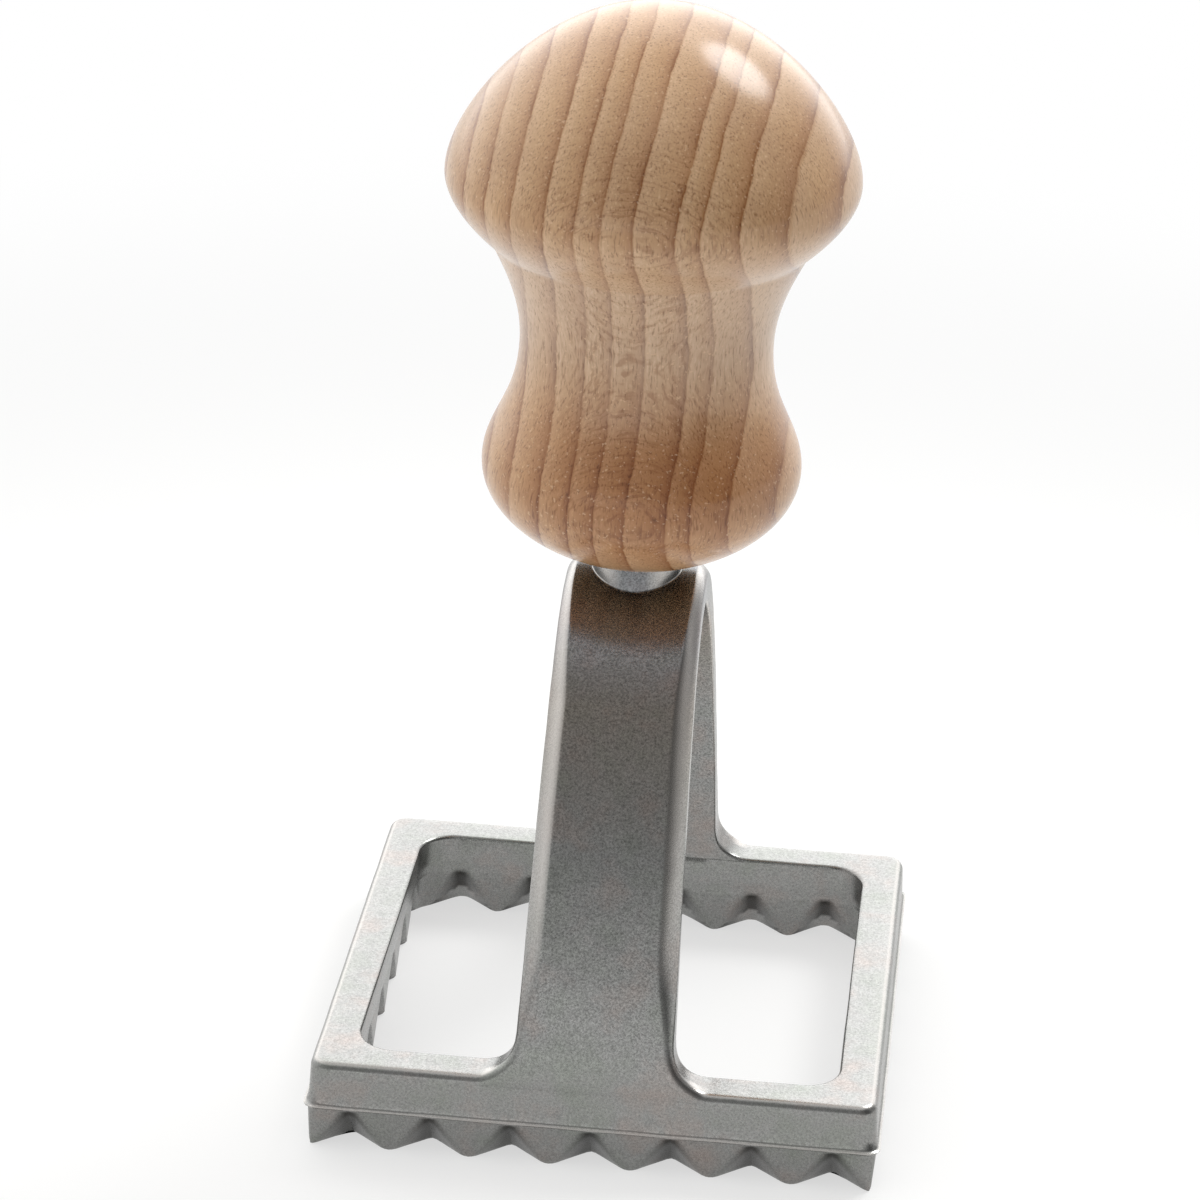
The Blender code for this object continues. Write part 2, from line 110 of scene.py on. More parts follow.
# Shade painted in the recesses, mm
TOOTH_SHADE = 0.12  # share of it on the teeth's faces
SHADE_REACH = 4.2  # how far it spreads from a recess's middle, at its foot
SHADE_NARROWING, SHADE_LEAST = 0.7, 0.25  # share of the reach lost at the top, and the least kept
SHADE_GAIN = 1.3
SHADE_LIMIT = 0.2  # over the pockets' top
SHADE_END, SHADE_FADE = 0.35, 0.5  # how far over a recess it ends, and the height it fades over

# Painted edge highlight: the turn of a face at which it is strongest, as a part of its normal, and its
# spread
STRAP_HIGHLIGHT_TURN, STRAP_HIGHLIGHT_SPREAD = 0.62, 0.38
RIM_HIGHLIGHT_TURN, RIM_HIGHLIGHT_SPREAD = 0.88, 0.14
STRAP_HIGHLIGHT_START, STRAP_HIGHLIGHT_RUN = 5.0, 18.0  # mm over the rim
RIDGE_HIGHLIGHT_HEIGHT = 0.5  # mm
RIDGE_HIGHLIGHT, RIM_HIGHLIGHT = 0.75, 0.8  # of the strap's painted highlight

# Unevenness of the casting: lengths of its waves in mm, and shares of its amount
BROAD_WAVE, CLOSE_WAVE = 7.0, 2.1
CLOSE_WAVE_SHARE = 0.45
WAVE_SINK = 0.6
CLOSE_WAVE_PLACE = (9.0, 4.0, 2.0)

# Arch, mm
ARCH_UNDERSIDE = 52.0
STRAP_THICKNESS = 4.3
STRAP_BASE_WIDTH = 16.7
STRAP_TOP_WIDTH = 14.7
STRAP_EDGE = 2.0
CROWN_EDGE = 1.1
BEND_RISE = 10.0
BEND_START = 0.5  # share of the foot's fillet over which the edges start to grow
EDGE_BEND = 1.55  # 1 rounds the strap's edges, 2 makes them flat chamfers
STRAP_INNER_EDGE = 0.4
FOOT_BLEND = 2.5  # 2 rounds the fillet at the strap's foot, and more starts and ends it more softly
CROWN_EDGE_START = 44.0  # height from which the edges narrow to the crown's
FOOT_REACH = 3.0
CROWN_REACH = 13.0
CROWN_TOP = ARCH_UNDERSIDE + STRAP_THICKNESS

# Boss, and the screw's hole and seat, mm
BOSS_RADIUS = 4.7
BOSS_TOP = 58.7
BOSS_EDGE = 0.35
BOSS_FILLET = 0.2
BOSS_FILLET_FOOT = 1.15  # fillets that the boss's foot stands proud
BOSS_FILLET_SINK = 0.04
BOSS_ROOT = 1.5  # over the arch's underside
SCREW_HOLE_RADIUS = 2.3
SEAT_RADIUS = 4.6
SEAT_HEIGHT = 52.4

# Smoothness of the casting, and the heights of its rows of points in mm
STEPS_PER_PITCH = 20
HALF_STATIONS = TEETH_PITCHES * STEPS_PER_PITCH // 2
LEG_STATIONS = 29  # stations on each side of the middle that the leg's foot covers
WINDOW_ROWS = (8.2, 7.0, 6.0)
POCKET_ROWS = (5.4, 5.1, 4.8, 4.5, 4.2, 3.8, 3.4, 2.9, 2.4, 1.9, 1.4, 0.9, 0.45, LAND_EDGE)
LAND_ROWS = ((0.035, 0.035), (0.0, LAND_EDGE))  # with how far each is set in
GROOVE_ROWS = (LAND_EDGE, 0.45, 0.9, 1.4, 1.9, 2.4, 2.8, 3.2, 3.55, 3.85)
SKIRT_STEPS = 5
OUTER_EDGE_STEPS = 8
RIM_STEPS = 6
WINDOW_EDGE_STEPS = 5
FOOT_STEPS = 18
FOOT_SHARE = 0.25
LEG_STEPS = 74
CROWN_STEP = 0.002
ROUND_STEPS = 72
WELD = 0.004  # mm
FOOT_FILLET = LEG_STATIONS * TOOTH_PITCH / STEPS_PER_PITCH - STRAP_BASE_WIDTH / 2

# Patterns of the casting's skin, mm
CLOUD_SIZE = 5.5
GRAIN_SIZE = 0.23  # of the tumbled skin
GRAIN_DEPTH = 0.025
SANDY_START, SANDY_END = 9.0, 24.0  # heights over which the grain grows to its full strength
# Heights over which the knob's painted reflection and painted shade grow on the strap
KNOB_TINT_START, KNOB_TINT_END = 30.0, 57.0

# Knob, mm. Its outline runs through these places, each (radius, height over its base)
KNOB_BASE = 59.0
KNOB_PLACES = ((8.0, 0.0), (16.8, 9.3), (13.2, 22.8), (16.6, 33.8), (21.4, 40.8), (0.0, 58.6))
BASE_SLOPE, NECK_SLOPE, CAP_SLOPE = 70, 27, 50  # degrees off upright
# How far each curve keeps its direction at its two ends, as a share of its run that way
KNOB_HOLDS = ((0.38, 0.50), (0.32, 0.53), (0.40, 0.31), (0.41, 0.32), (0.32, 0.55))
OUTLINE_STEPS = 24
KNOB_STEPS = 144
PILOT_DEPTH = 24.0

# Grain of the knob's wood, mm. A scratch program fitted the growth lines' places across the rings, their
# bend and their lean to points marked by hand. The outer two lines at each end were given, not fitted
RING_SPAN = 24.0
RING_LINES = (-24.0, -21.0, -17.9, -14.8, -11.5, -7.6, -4.1, -1.3, 2.0, 6.2, 8.4, 11.8, 15.6, 19.4, 24.0)
LINE_EDGE = 0.08
RING_BEND = 0.0056  # per mm
RING_LEAN = 0.0344
RING_MIDDLE = 80.0
RING_WANDER, WANDER_SIZE = 0.8, 9.0
RING_SHAKE, SHAKE_SIZE = 0.3, 1.3
LINE_PATCH_SIZE = 6.0
TONE_SIZE = 8.0
PATCH_PLACE = (3.0, -14.5, 71.0)
PATCH_REACH = (24.0, 19.0, 13.0)
NECK_LOW, NECK_HIGH = 75.0, 100.0  # heights between which the knob's neck has its painted reflection
NECK_SHEEN = 0.26
RAY_TILT = 7.0  # degrees
RAY_SIZE = (3.0, 0.17, 1.3)
PORE_SIZE = (0.2, 0.2, 1.6)
PORE_DEPTH = 0.02
SPECK_SIZE = 0.35

# Screw, mm, measured from its head's seat
HEAD_SEAT = 52.1
SCREW_LENGTH = 30.0
SCREW_RADIUS = 2.0
SCREW_CORE_RADIUS = 1.35
THREAD_LENGTH = 21.0
THREAD_PITCH = 1.8
THREAD_FLANK = 0.5
THREAD_SINK = 0.3
POINT_LENGTH = 3.0
HEAD_RADIUS = 3.9
HEAD_HEIGHT = 2.6
HEAD_RIM = 0.8
HEAD_EDGE = 0.15
HEAD_CROWN_RADIUS = 2.2
HEAD_STEPS = 10
RECESS_SPAN = 4.2
RECESS_WIDTH = 1.0
RECESS_DEPTH = 1.6
RECESS_TAPER = 0.6
SCREW_STEPS = 48
MARK_SIZE = 0.4  # of the plating's marks

# Camera and key lamp: mm, and degrees from the front towards the right and up
CAMERA_PLACE = (37.0, -443.4, 246.0)
CAMERA_AZIMUTH, CAMERA_ELEVATION, CAMERA_ROLL = 5.259, 23.544, 2.227
CAMERA_LENS = 136.86
CAMERA_NEAR = 10.0
KEY_AZIMUTH, KEY_ELEVATION = 138, 50
KEY_DISTANCE, KEY_SIZE = 1200.0, 500.0
KEY_AIM = (0.0, 0.0, 50.0)

# Brightness of the sky at azimuths from the front, the right being positive. The levels began from a
# scratch program's fit of the render to the photo's brightness, and were changed in steps after it
SKY_AZIMUTHS = (-180, -145, -100, -60, -25, 0, 25, 60, 78, 95, 112, 130, 155, 180)
SKY_LOW = (2.1, 1.9, 1.0, 0.8, 1.75, 1.7, 0.6, 0.1, 0.25, 0.6, 0.4, 0.7, 2.7, 2.1)
SKY_HIGH = (2.8, 2.1, 1.3, 0.7, 0.48, 0.40, 0.33, 0.12, 0.2, 0.6, 0.35, 0.6, 1.9, 2.8)
SKY_TOP = 0.9
SKY_SCALE = 4.0
# Sines of the elevations between which the low band turns into the high one, and that into the top
SKY_RISING, SKY_STEEP = (-0.11, 0.36), (0.78, 0.97)

# Floor
FLOOR_RADIUS = 2500.0  # mm
WHITE_NEAR, WHITE_FAR = 0.62, 1.0  # share of plain white in it, at the tool and far from it
PAPER_START, PAPER_END = 80.0, 320.0  # mm from the tool's middle, over which the paper runs out


# Helpers

def linear(code):
    """Turn an sRGB hex colour into the linear colour that a shader wants."""
    channels = [int(code[start:start + 2], 16) / 255 for start in (1, 3, 5)]
    return tuple(value / 12.92 if value <= 0.04045 else ((value + 0.055) / 1.055) ** 2.4
                 for value in channels) + (1.0,)


def colour_setting(name, description, code):
    """A colour that a user can change, given as an sRGB hex value."""
    return FloatVectorProperty(name=name, description=description, default=linear(code), subtype="COLOR",
                               size=4, min=0.0, max=1.0)


def share_setting(name, description, default):
    return FloatProperty(name=name, description=description, default=default, subtype="FACTOR",
                         min=0.0, max=1.0)


def feed(node, inputs):
    """Set a node's sockets, each to a value, another node's socket or that node's first output."""
    for name, value in inputs.items():
        if isinstance(value, bpy.types.Node):
            value = value.outputs[0]
        if isinstance(value, bpy.types.NodeSocket):
            node.id_data.links.new(value, node.inputs[name])
        else:
            node.inputs[name].default_value = value


def add_node(tree, kind, inputs=None, stops=None, **settings):
    """Add a node with its settings, what feeds its sockets, and a ramp's stops."""
    node = tree.nodes.new("ShaderNode" + kind)
    for name, value in settings.items():
        setattr(node, name, value)
    feed(node, inputs or {})
    if stops:
        ramp = node.color_ramp.elements
        while len(ramp) < len(stops):
            ramp.new(1.0)
        for stop, (position, colour) in zip(ramp, stops):
            stop.position = position
            if isinstance(colour, str):
                colour = linear(colour)
            stop.color = (colour, colour, colour, 1.0) if isinstance(colour, float) else colour
    return node


def new_material(name):
    """A material with a bare principled shader, what adds nodes to it, and that shader."""
    material = bpy.data.materials.new(name)
    material.use_nodes = True
    tree = material.node_tree
    return material, partial(add_node, tree), tree.nodes["Principled BSDF"]


def millimetres(add):
    """Object coordinates in millimetres, which every pattern starts from."""
    place = add("TexCoord").outputs["Object"]
    return add("VectorMath", {0: place, "Scale": 1 / MM}, operation="SCALE")


def smooth_faces(mesh, sharp_angle=SHARP_ANGLE):
    mesh.shade_smooth()
    mesh.set_sharp_from_angle(angle=math.radians(sharp_angle))


def finish_mesh(name, bm, material=None, sharp_angle=SHARP_ANGLE):
    """Turn a bmesh in millimetres into an object in metres, smooth but for its sharp edges."""
    bmesh.ops.recalc_face_normals(bm, faces=bm.faces)
    bmesh.ops.scale(bm, verts=bm.verts, vec=(MM, MM, MM))
    mesh = bpy.data.meshes.new(name)
    bm.to_mesh(mesh)
    bm.free()
    smooth_faces(mesh, sharp_angle)
    item = bpy.data.objects.new(name, mesh)
    bpy.context.scene.collection.objects.link(item)
    if material:
        mesh.materials.append(material)
    return item


def skin(bm, rows, close_rows=True, close_loft=False):
    """Join rows of equally many points with quads."""
    rings = [[bm.verts.new(point) for point in row] for row in rows]
    pairs = list(zip(rings, rings[1:]))
    if close_loft:
        pairs.append((rings[-1], rings[0]))
    for lower, upper in pairs:
        count = len(lower)
        for here in range(count if close_rows else count - 1):
            after = (here + 1) % count
            bm.faces.new((lower[here], lower[after], upper[after], upper[here]))
    return rings


def carve(item, tools, operation):
    """Join other objects to an object or cut them out of it, apply that, and delete them."""
    for tool in tools:
        modifier = item.modifiers.new(tool.name, "BOOLEAN")
        modifier.operation = operation
        modifier.object = tool
        modifier.solver = "EXACT"
    shaped = bpy.data.meshes.new_from_object(item.evaluated_get(bpy.context.evaluated_depsgraph_get()))
    item.modifiers.clear()
    item.data = shaped
    for tool in tools:
        bpy.data.objects.remove(tool, do_unlink=True)


def revolve(outline, steps):
    """Turn an outline of (radius, height) points round the Z axis. Its ends may lie on the axis."""
    bm = bmesh.new()
    rings = []
    for radius, height in outline:
        if radius < 1e-6:
            rings.append([bm.verts.new((0, 0, height))] * steps)
        else:
            rings.append([bm.verts.new((radius * math.cos(2 * math.pi * step / steps),
                                        radius * math.sin(2 * math.pi * step / steps), height))
                          for step in range(steps)])
    for lower, upper in zip(rings, rings[1:]):
        for here in range(steps):
            after = (here + 1) % steps
            corners = (lower[here], lower[after], upper[after], upper[here])
            bm.faces.new(list(dict.fromkeys(corners)))
    return bm


def rise(start, end, share):
    return start + (end - start) * share


def smooth(share):
    share = min(1.0, max(0.0, share))
    return share * share * (3 - 2 * share)


def soft_over(value, softness):
    """The larger of value and 0, with a rounded bend between the two."""
    bend = max(softness - abs(value), 0) ** 2 / (4 * softness)
    return max(value, 0) + bend


def quarter(steps):
    """Sine and cosine over a quarter turn."""
    for step in range(steps + 1):
        angle = step / steps * math.pi / 2
        yield math.sin(angle), math.cos(angle)


def bezier(start, near, far, end, share):
    rest = 1 - share
    return rest ** 3 * start + 3 * rest ** 2 * share * near + 3 * rest * share ** 2 * far + share ** 3 * end


# Toothed frame

def square_place(along, reach, corner):
    """Where a side's station lies on a square with round corners, as (along, out)."""
    middle = reach - corner
    past = abs(along) - middle
    if past <= 0:
        return along, reach
    angle = past / (TIP_REACH - middle) * math.pi / 4
    return math.copysign(middle + corner * math.sin(angle), along), middle + corner * math.cos(angle)


def nearest(along, first):
    """How far a place is from the nearest of the places one pitch apart that start at first."""
    turns = (along - first) / TOOTH_PITCH
    return abs(turns - round(turns)) * TOOTH_PITCH


def vee_depth(off, height, top, flats, rounding):
    """Depth of a V that runs out at the top, at a distance off its middle. The flats are its
    bottom's and that of the metal between two V's."""
    slope = TOOTH_DEPTH / ((TOOTH_PITCH - sum(flats)) / 2)
    across = math.hypot(off, flats[0] * rounding[0]) - flats[0] * rounding[1]
    return soft_over(TOOTH_DEPTH * (1 - height / top) - slope * max(across, 0), TOOTH_SOFTNESS)


def groove_depth(along, height):
    """Depth of the outer grooves, whose bottoms run out under the parting ridge."""
    off = nearest(along, -TIP_REACH + TOOTH_PITCH / 2)
    return vee_depth(off, height, GROOVE_TOP, (VALLEY_FLAT, TIP_FLAT), GROOVE_ROUNDING)


def pocket_depth(along, height):
    """Depth of the inner pockets, which lie behind the tips but not in the corners."""
    if abs(along) > TIP_REACH - TOOTH_PITCH / 2:
        return 0.0
    off = nearest(along, -TIP_REACH)
    return vee_depth(off, height, POCKET_TOP, (POCKET_FLAT, INNER_RIDGE_FLAT), POCKET_ROUNDING)


def ring(place):
    """Carry one side's places, each (along, out, height) of a station, round the four sides."""
    points = []
    side = [place(step * TOOTH_PITCH / STEPS_PER_PITCH) for step in range(-HALF_STATIONS, HALF_STATIONS)]
    for turn in range(4):
        spin = Matrix.Rotation(turn * math.pi / 2, 3, "Z")
        points += [spin @ Vector((along, -out, height)) for along, out, height in side]
    return points


def wall_row(height, reach, corner, inset=0.0, inner=False):
    """A row of the wall's outer or inner face, which the grooves or the pockets bite into."""
    depth_at, top, way = (pocket_depth, POCKET_TOP, 1) if inner else (groove_depth, GROOVE_TOP, -1)

    def place(station):
        along, out = square_place(station, reach, corner)
        depth = depth_at(along, height) if height < top + TOOTH_SOFTNESS else 0.0
        return along, out + way * depth + way * inset, height
    return ring(place)


def ridge_row(height, share, corner):
    """A row over the parting ridge, whose crest wavers a little."""
    def place(station):
        at_corner = max(0.0, abs(station) - (TIP_REACH - RIDGE_CORNER_RUN)) / RIDGE_CORNER_RUN
        proud = RIDGE_PROUD * rise(RIDGE_SIDE_SHARE, 1.0, min(1.0, at_corner))
        along, out = square_place(station, SKIRT_REACH + proud * share, corner)
        waver = RIDGE_WAVER * share * noise.noise(Vector((station / RIDGE_WAVE, RIDGE_SEED, 0)))
        return along, out - groove_depth(along, height), height + waver
    return ring(place)


def wall_rows():
    """Rows from the top of the window's face down to the cutting edge and up to the skirt's top."""
    rows = []
    window_top = RIM_TOP - WINDOW_EDGE
    pocket_reach = WINDOW_REACH + WINDOW_DRAFT
    edge_inside = TIP_REACH - CUTTING_LAND - TOOTH_DEPTH
    for height in (window_top, *WINDOW_ROWS):
        share = (window_top - height) / (window_top - POCKET_TOP)
        reach = rise(WINDOW_REACH, pocket_reach, share ** 2)
        rows.append(wall_row(height, reach, WINDOW_CORNER, inner=True))
    for height in POCKET_ROWS:
        share = max(0.0, 1 - height / POCKET_TOP)
        reach = rise(pocket_reach, edge_inside, share)
        corner = rise(WINDOW_CORNER, EDGE_CORNER_INSIDE, share)
        rows.append(wall_row(height, reach, corner, inner=True))
    for height, inset in LAND_ROWS:
        rows.append(wall_row(height, edge_inside, EDGE_CORNER_INSIDE, inset, inner=True))
    for height, inset in reversed(LAND_ROWS):
        rows.append(wall_row(height, TIP_REACH, TIP_CORNER, inset))
    for height in GROOVE_ROWS:
        share = height / SKIRT_FOOT
        corner = rise(TIP_CORNER, RIDGE_CORNER, share)
        rows.append(wall_row(height, rise(TIP_REACH, SKIRT_REACH, share), corner))
    for height, proud in RIDGE_PROFILE:
        corner = rise(RIDGE_CORNER, OUTER_CORNER, max(0.0, height / RIDGE_PROFILE[-1][0]))
        rows.append(ridge_row(RIDGE_MIDDLE + height, proud, corner))
    skirt_start = RIDGE_MIDDLE + RIDGE_PROFILE[-1][0]
    skirt_end = RIM_TOP - OUTER_EDGE
    for step in range(1, SKIRT_STEPS + 1):
        share = step / SKIRT_STEPS
        rows.append(wall_row(rise(skirt_start, skirt_end, share),
                             rise(SKIRT_REACH, SKIRT_TOP_REACH, share), OUTER_CORNER))
    return rows


def rim_profile():
    """Places over the rim, each (reach, corner, height), from the skirt's top to the window's."""
    profile = []
    for sine, cosine in quarter(OUTER_EDGE_STEPS):
        inset = OUTER_EDGE * (1 - cosine)
        profile.append((SKIRT_TOP_REACH - inset, OUTER_CORNER - inset, RIM_TOP - OUTER_EDGE * (1 - sine)))
    start = profile[-1]
    end = WINDOW_REACH + WINDOW_EDGE, WINDOW_CORNER, RIM_TOP
    for step in range(1, RIM_STEPS):
        profile.append(tuple(rise(a, b, step / RIM_STEPS) for a, b in zip(start, end)))
    for sine, cosine in quarter(WINDOW_EDGE_STEPS):
        profile.append((WINDOW_REACH + WINDOW_EDGE * (1 - sine), WINDOW_CORNER,
                        RIM_TOP - WINDOW_EDGE * (1 - cosine)))
    return profile


# Arch

def arch_place(share):
    """The strap's inner line: a point, the direction out of the strap and the one along it."""
    foot = Vector((0, -WINDOW_REACH, RIM_TOP))
    crown = Vector((0, 0, ARCH_UNDERSIDE))
    near, far = foot + Vector((0, 0, FOOT_REACH)), crown - Vector((0, CROWN_REACH, 0))
    rest = 1 - share
    along = rest ** 2 * (near - foot) + 2 * rest * share * (far - near) + share ** 2 * (crown - far)
    along.normalize()
    return bezier(foot, near, far, crown, share), Vector((0, -along.z, along.y)), along


def leg_section(share):
    """One section of the leg's right half: from its outer face over its side to its inner face."""
    point, out, along = arch_place(share)
    height = point.z - RIM_TOP
    lift = min(1.0, height / FOOT_FILLET)
    past = (1 - (1 - lift) ** FOOT_BLEND) ** (1 / FOOT_BLEND)
    turn = math.atan2(past ** (FOOT_BLEND - 1), (1 - lift) ** (FOOT_BLEND - 1))
    taper = height / (CROWN_TOP - RIM_TOP)
    half = rise(STRAP_BASE_WIDTH, STRAP_TOP_WIDTH, taper) / 2 + FOOT_FILLET * (1 - past)
    into = Vector((-math.sin(turn), 0, 0)) - along * math.cos(turn)
    thickness = rise(RIM_WIDTH, STRAP_THICKNESS, lift)
    near_crown = max(0.0, (point.z - CROWN_EDGE_START) / (ARCH_UNDERSIDE - CROWN_EDGE_START))
    grown = smooth((height - BEND_START * FOOT_FILLET) / BEND_RISE)
    edge = rise(rise(OUTER_EDGE, STRAP_EDGE, grown), CROWN_EDGE, near_crown)
    bend = rise(1.0, EDGE_BEND, grown)

    def side(depth):
        return point + Vector((half, 0, 0)) + out * depth

    section = []
    middle = side(thickness - edge) + into * edge
    for sine, cosine in quarter(OUTER_EDGE_STEPS):
        section.append(middle + (out * max(cosine, 0) ** bend - into * sine ** bend) * edge)
    start, end = side(thickness - edge), side(STRAP_INNER_EDGE)
    section += [start.lerp(end, step / RIM_STEPS) for step in range(1, RIM_STEPS)]
    middle = side(STRAP_INNER_EDGE) + into * STRAP_INNER_EDGE
    for sine, cosine in quarter(WINDOW_EDGE_STEPS):
        section.append(middle - (out * sine + into * cosine) * STRAP_INNER_EDGE)
    return section


def leg_sections():
    """Sections of the right half of the arch, from the front foot to the rear foot."""
    shares = [FOOT_SHARE * (step / FOOT_STEPS) ** 2 for step in range(FOOT_STEPS)]
    shares += [rise(FOOT_SHARE, 1.0, step / LEG_STEPS) for step in range(LEG_STEPS + 1)]
    front = [leg_section(share) for share in shares]
    rear = [[Vector((point.x, -point.y, point.z)) for point in section] for section in front[:-1]]
    return front + rear[::-1]


def face_rows(sections, column):
    """Rows straight across the arch, from a column of its right half to the same on its left."""
    steps = 2 * LEG_STATIONS
    return [[Vector((rise(-section[column].x, section[column].x, step / steps),
                     section[column].y, section[column].z)) for step in range(steps + 1)]
            for section in sections]


def casting_mesh():
    """Frame and arch as one skin. The rim's top surface runs on up the leg's sides."""
    bm = bmesh.new()
    skin(bm, wall_rows())
    rim = [ring(lambda station: (*square_place(station, reach, corner), height))
           for reach, corner, height in rim_profile()]
    first = HALF_STATIONS + LEG_STATIONS
    last = 5 * HALF_STATIONS - LEG_STATIONS
    legs = leg_sections()
    strip = [[column[station] for column in rim] for station in range(first, last + 1)]
    strip += legs[::-1][1:-1]
    for flip in (1, -1):
        side = [[Vector((flip * point.x, point.y, point.z)) for point in section] for section in strip]
        skin(bm, side, close_rows=False, close_loft=True)
    skin(bm, face_rows(legs, 0), close_rows=False)
    skin(bm, face_rows(legs, -1), close_rows=False)
    bmesh.ops.remove_doubles(bm, verts=bm.verts, dist=WELD)
    return bm


def crown_height(across):
    """Height of the crown's outer face at a distance from the arch's middle, in Y."""
    share = 1.0
    while share > 0:
        point, out, _ = arch_place(share)
        top = point + out * STRAP_THICKNESS
        if abs(top.y) >= abs(across):
            return top.z
        share -= CROWN_STEP
    raise RuntimeError("the boss is wider than the arch")


def boss_mesh():
    """The boss, with a fillet that meets the curved crown and a slightly broken top edge."""
    fillet = [(BOSS_RADIUS + BOSS_FILLET * (BOSS_FILLET_FOOT - sine),
               BOSS_FILLET * (1 - cosine) - BOSS_FILLET_SINK) for sine, cosine in quarter(6)]
    edge = [(BOSS_RADIUS - BOSS_EDGE * (1 - cosine), BOSS_TOP - BOSS_EDGE * (1 - sine))
            for sine, cosine in quarter(4)]
    rows = []
    for step in range(ROUND_STEPS):
        angle = 2 * math.pi * step / ROUND_STEPS
        column = [(fillet[0][0], ARCH_UNDERSIDE + BOSS_ROOT)]
        column += [(radius, crown_height(radius * math.sin(angle)) + lift) for radius, lift in fillet]
        rows.append([Vector((radius * math.cos(angle), radius * math.sin(angle), height))
                     for radius, height in column + edge])
    bm = bmesh.new()
    columns = skin(bm, rows, close_rows=False, close_loft=True)
    bm.faces.new([column[0] for column in columns])
    bm.faces.new([column[-1] for column in columns])
    return bm


def drill_mesh(bottom, top, radius):
    return revolve([(0, bottom), (radius, bottom), (radius, top), (0, top)], ROUND_STEPS)


def uneven_casting(mesh, amount):
    """Let the casting's faces wander a little, as a die-cast and tumbled surface does, and keep
    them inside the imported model's box."""
    shifts = []
    for vertex in mesh.vertices:
        place = vertex.co / MM
        broad = noise.noise(place / BROAD_WAVE)
        close = noise.noise(place / CLOSE_WAVE + Vector(CLOSE_WAVE_PLACE))
        shifts.append(vertex.normal * (broad + CLOSE_WAVE_SHARE * close - WAVE_SINK) * amount)
    low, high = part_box("cutter_casting")
    for vertex, shift in zip(mesh.vertices, shifts):
        place = vertex.co + shift
        vertex.co = [min(max(value, bottom), top) for value, bottom, top in zip(place, low, high)]


def mark_recess_shade(mesh):
    """Mark how deep each vertex lies in a groove or a pocket, where shade is painted."""
    marks = mesh.attributes.new("recess", "FLOAT", "POINT")
    for vertex, mark in zip(mesh.vertices, marks.data):
        x, y, z = vertex.co / MM
        if z > POCKET_TOP + SHADE_LIMIT:
            continue
        out, along = max(abs(x), abs(y)), x if abs(y) > abs(x) else y
        # The middle of the metal at this height, which tells the teeth's two sides apart
        middle = TIP_REACH - CUTTING_LAND / 2 - TOOTH_DEPTH * max(0, 1 - z / GROOVE_TOP)
        outside = out > middle - 0.05
        first = -TIP_REACH + (TOOTH_PITCH / 2 if outside else 0)
        top = GROOVE_TOP if outside else POCKET_TOP
        reach = SHADE_REACH * max(SHADE_LEAST, 1 - SHADE_NARROWING * z / top)
        near = min(1.0, max(TOOTH_SHADE, (1 - nearest(along, first) / reach) * SHADE_GAIN))
        mark.value = near * min(1.0, max(0.0, (top + SHADE_END - z) / SHADE_FADE))


def mark_edge_highlights(mesh):
    """Mark the strap's and the rim's rounded edges and the ridge's crest, where a highlight is painted
    brighter than the faces."""
    marks = mesh.attributes.new("edge_highlight", "FLOAT", "POINT")
    for vertex, mark in zip(mesh.vertices, marks.data):
        x, y, z = vertex.co / MM
        out = max(abs(x), abs(y)) - SKIRT_REACH
        strap = max(0.0, 1 - abs(abs(vertex.normal.x) - STRAP_HIGHLIGHT_TURN) / STRAP_HIGHLIGHT_SPREAD)
        strap *= smooth((z - RIM_TOP - STRAP_HIGHLIGHT_START) / STRAP_HIGHLIGHT_RUN)
        crest = smooth(1 - abs(z - RIDGE_MIDDLE) / RIDGE_HIGHLIGHT_HEIGHT)
        crest *= min(1.0, max(0.0, out / (0.8 * RIDGE_PROUD)))
        rim = 0.0
        if out > -OUTER_CORNER and abs(z - RIM_TOP) < OUTER_EDGE:
            rim = smooth(1 - abs(vertex.normal.z - RIM_HIGHLIGHT_TURN) / RIM_HIGHLIGHT_SPREAD)
        mark.value = max(strap, RIDGE_HIGHLIGHT * crest, RIM_HIGHLIGHT * rim)


